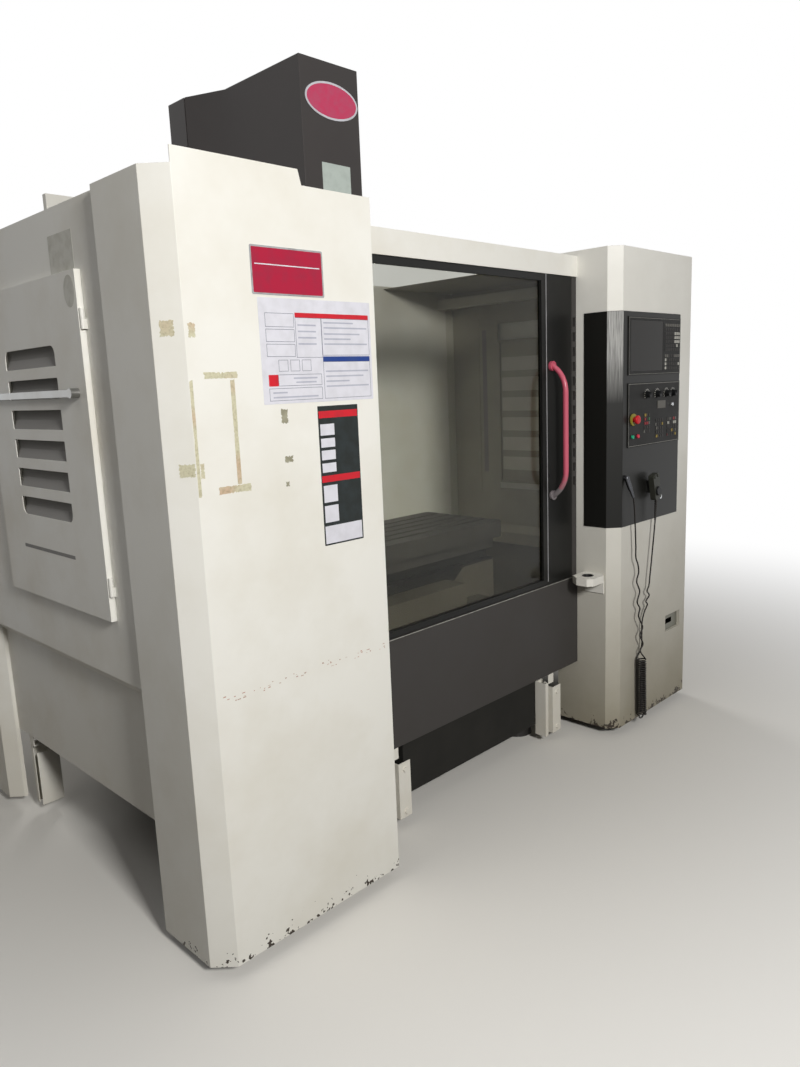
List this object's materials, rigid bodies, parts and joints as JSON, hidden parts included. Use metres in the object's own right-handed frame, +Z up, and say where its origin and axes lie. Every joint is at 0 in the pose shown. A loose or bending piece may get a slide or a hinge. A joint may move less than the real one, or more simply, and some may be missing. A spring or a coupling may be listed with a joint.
{
  "type": "cnc machining center",
  "caption": "Vertical machining centre in a tall white sheet-metal enclosure with a sliding glass door, side hatches, a control panel with a hand unit, a table and a moving head.",
  "frame": {"origin": "middle of the machine's box on the floor", "axes": "+X to the right seen from the front, +Y into the machine, +Z up"},
  "size_m": [3.03, 2.45, 3.12],
  "materials": {
    "white_paint": "satin off-white enamel",
    "black_paint": "satin black enamel",
    "grey_paint": "satin dark grey enamel",
    "pink_paint": "worn faded red enamel",
    "casting": "painted casting",
    "iron": "machined and oiled",
    "dark_steel": "blackened",
    "ground_steel": "ground",
    "bright_metal": "satin",
    "chrome": "polished",
    "motor_black": "matt black",
    "dark_plastic": "matt black",
    "red_plastic": "gloss red",
    "green_plastic": "gloss green",
    "screen": "dark glossy display",
    "glass": "slightly tinted and dusty",
    "cord_rubber": "black jacket"
  },
  "bodies": {
    "machine": {"base_casting": "casting", "levelling_feet": "dark_steel", "column_casting": "casting", "column_cover": "black_paint", "left_front_pillar": "white_paint", "right_front_pillar": "white_paint", "header_beam": "white_paint", "front_apron": "grey_paint", "left_side_panel": "white_paint", "right_side_panel": "white_paint", "rear_wall": "white_paint", "chip_pan": "white_paint", "skirt_brackets": "white_paint", "tool_seat": "white_paint", "control_housing": "black_paint", "display_unit": "dark_plastic", "display_screen": "screen", "operator_plate": "dark_plastic", "hand_unit": "dark_plastic", "cord_plug": "bright_metal", "cord_lead": "cord_rubber", "cord_coil": "cord_rubber", "cord_tail": "cord_rubber", "axis_motors": "motor_black", "magazine_frame": "white_paint", "electrical_cabinet": "white_paint"},
    "door": {"door_frame": "black_paint", "door_glass": "glass", "door_handle": "pink_paint"},
    "roller_left": {"door_roller_left": "bright_metal"},
    "roller_right": {"door_roller_right": "bright_metal"},
    "hatch_left": {"left_hatch": "white_paint"},
    "hatch_right": {"right_hatch": "white_paint"},
    "latch_left": {"left_latch_bar": "bright_metal"},
    "latch_right": {"right_latch_bar": "bright_metal"},
    "saddle_body": {"saddle": "casting"},
    "table_body": {"table": "iron"},
    "screw_x_body": {"screw_x": "ground_steel"},
    "screw_y_body": {"screw_y": "ground_steel"},
    "screw_z_body": {"screw_z": "ground_steel"},
    "cover_lower": {"y_cover_lower": "ground_steel"},
    "cover_upper": {"y_cover_upper": "ground_steel"},
    "head": {"headstock": "casting", "spindle_motor": "motor_black", "head_cover": "black_paint"},
    "spindle_body": {"spindle": "ground_steel"},
    "disc": {"magazine_disc": "iron"},
    "arm": {"tool_arm": "ground_steel"},
    "emergency_stop": {"estop_button": "red_plastic"},
    "cycle_start": {"start_button": "green_plastic"},
    "cycle_stop": {"stop_button": "red_plastic"},
    "knob_1": {"spindle_knob": "dark_plastic"},
    "knob_2": {"feed_knob": "dark_plastic"},
    "knob_3": {"rapid_knob": "dark_plastic"},
    "knob_4": {"mode_knob": "dark_plastic"},
    "key": {"key_switch": "bright_metal"},
    "lock": {"housing_lock": "chrome"},
    "dial": {"hand_wheel": "dark_plastic"},
    "cabinet_leaf": {"cabinet_door": "white_paint"},
    "switch": {"main_switch": "red_plastic"}
  },
  "joints": [
    {"name": "door_slide", "type": "slide", "parent": "machine", "child": "door", "axis": [-1, 0, 0], "range_m": [0, 0.68]},
    {"name": "roller_left_spin", "type": "hinge", "parent": "door", "child": "roller_left", "pos_m": [-0.6525, -0.888, 2.228], "axis": [0, 1, 0], "continuous": true},
    {"name": "roller_right_spin", "type": "hinge", "parent": "door", "child": "roller_right", "pos_m": [0.5515, -0.888, 2.228], "axis": [0, 1, 0], "continuous": true},
    {"name": "hatch_left_hinge", "type": "hinge", "parent": "machine", "child": "hatch_left", "pos_m": [-1.48, -0.702, 1.562], "axis": [0, 0, 1], "range_deg": [0, 100]},
    {"name": "hatch_right_hinge", "type": "hinge", "parent": "machine", "child": "hatch_right", "pos_m": [1.48, -0.702, 1.562], "axis": [0, 0, -1], "range_deg": [0, 100]},
    {"name": "latch_left_turn", "type": "hinge", "parent": "hatch_left", "child": "latch_left", "pos_m": [-1.4875, -0.637, 1.738], "axis": [1, 0, 0], "range_deg": [0, 60]},
    {"name": "latch_right_turn", "type": "hinge", "parent": "hatch_right", "child": "latch_right", "pos_m": [1.4875, -0.637, 1.738], "axis": [1, 0, 0], "range_deg": [0, 60]},
    {"name": "saddle_y", "type": "slide", "parent": "machine", "child": "saddle_body", "axis": [0, 1, 0], "range_m": [0, 0.46]},
    {"name": "table_x", "type": "slide", "parent": "saddle_body", "child": "table_body", "axis": [1, 0, 0], "range_m": [-0.481, 0.299]},
    {"name": "head_z", "type": "slide", "parent": "machine", "child": "head", "axis": [0, 0, 1], "range_m": [-0.52, 0]},
    {"name": "screw_x_turn", "type": "hinge", "parent": "saddle_body", "child": "screw_x_body", "pos_m": [0, -0.335, 0.88], "axis": [1, 0, 0], "continuous": true},
    {"name": "screw_y_turn", "type": "hinge", "parent": "machine", "child": "screw_y_body", "pos_m": [0, -0.15, 0.6], "axis": [0, 1, 0], "continuous": true},
    {"name": "screw_z_turn", "type": "hinge", "parent": "machine", "child": "screw_z_body", "pos_m": [0, 0.68, 1.8], "axis": [0, 0, 1], "continuous": true},
    {"name": "cover_lower_slide", "type": "slide", "parent": "machine", "child": "cover_lower", "axis": [0, 1, 0], "range_m": [0, 0.1534]},
    {"name": "cover_upper_slide", "type": "slide", "parent": "machine", "child": "cover_upper", "axis": [0, 1, 0], "range_m": [0, 0.3067]},
    {"name": "spindle_turn", "type": "hinge", "parent": "head", "child": "spindle_body", "pos_m": [0, -0.05, 1.7], "axis": [0, 0, 1], "continuous": true},
    {"name": "disc_turn", "type": "hinge", "parent": "machine", "child": "disc", "pos_m": [-0.675, -0.05, 1.96], "axis": [1, 0, 0], "continuous": true},
    {"name": "arm_turn", "type": "hinge", "parent": "machine", "child": "arm", "pos_m": [-0.3, -0.05, 1.6], "axis": [0, 0, 1], "range_deg": [0, 90]},
    {"name": "emergency_stop_push", "type": "slide", "parent": "machine", "child": "emergency_stop", "axis": [0, 1, 0], "range_m": [0, 0.004], "stiffness_N_per_m": 900, "springref_m": -0.002},
    {"name": "cycle_start_push", "type": "slide", "parent": "machine", "child": "cycle_start", "axis": [0, 1, 0], "range_m": [0, 0.004], "stiffness_N_per_m": 600, "springref_m": -0.002},
    {"name": "cycle_stop_push", "type": "slide", "parent": "machine", "child": "cycle_stop", "axis": [0, 1, 0], "range_m": [0, 0.004], "stiffness_N_per_m": 600, "springref_m": -0.002},
    {"name": "knob_1_turn", "type": "hinge", "parent": "machine", "child": "knob_1", "pos_m": [0.9915, -1.172, 1.63], "axis": [0, 1, 0], "range_deg": [-135, 135]},
    {"name": "knob_2_turn", "type": "hinge", "parent": "machine", "child": "knob_2", "pos_m": [1.0895, -1.172, 1.63], "axis": [0, 1, 0], "range_deg": [-135, 135]},
    {"name": "knob_3_turn", "type": "hinge", "parent": "machine", "child": "knob_3", "pos_m": [1.1805, -1.172, 1.63], "axis": [0, 1, 0], "range_deg": [-135, 135]},
    {"name": "knob_4_turn", "type": "hinge", "parent": "machine", "child": "knob_4", "pos_m": [1.2475, -1.172, 1.63], "axis": [0, 1, 0], "range_deg": [-135, 135]},
    {"name": "key_turn", "type": "hinge", "parent": "machine", "child": "key", "pos_m": [1.2355, -1.172, 1.576], "axis": [0, 1, 0], "range_deg": [-90, 0]},
    {"name": "lock_turn", "type": "hinge", "parent": "machine", "child": "lock", "pos_m": [1.122, -1.168, 1.134], "axis": [0, 1, 0], "range_deg": [-90, 0]},
    {"name": "dial_turn", "type": "hinge", "parent": "machine", "child": "dial", "pos_m": [1.02732, -1.216, 1.17465], "axis": [0, 1, 0], "continuous": true},
    {"name": "cabinet_hinge", "type": "hinge", "parent": "machine", "child": "cabinet_leaf", "pos_m": [-0.466, 1.184, 1.3425], "axis": [0, 0, 1], "range_deg": [0, 110]},
    {"name": "switch_turn", "type": "hinge", "parent": "cabinet_leaf", "child": "switch", "pos_m": [0.34, 1.195, 1.64], "axis": [0, 1, 0], "range_deg": [0, 90]}
  ],
  "couplings": [
    {"joint": "roller_left_spin", "follows": "door_slide", "rad_per_m": -45.455},
    {"joint": "roller_right_spin", "follows": "door_slide", "rad_per_m": -45.455},
    {"joint": "cover_lower_slide", "follows": "saddle_y", "ratio": 0.33333},
    {"joint": "cover_upper_slide", "follows": "saddle_y", "ratio": 0.66667},
    {"joint": "screw_y_turn", "follows": "saddle_y", "rad_per_m": 628.32},
    {"joint": "screw_x_turn", "follows": "table_x", "rad_per_m": 628.32},
    {"joint": "screw_z_turn", "follows": "head_z", "rad_per_m": 628.32}
  ]
}
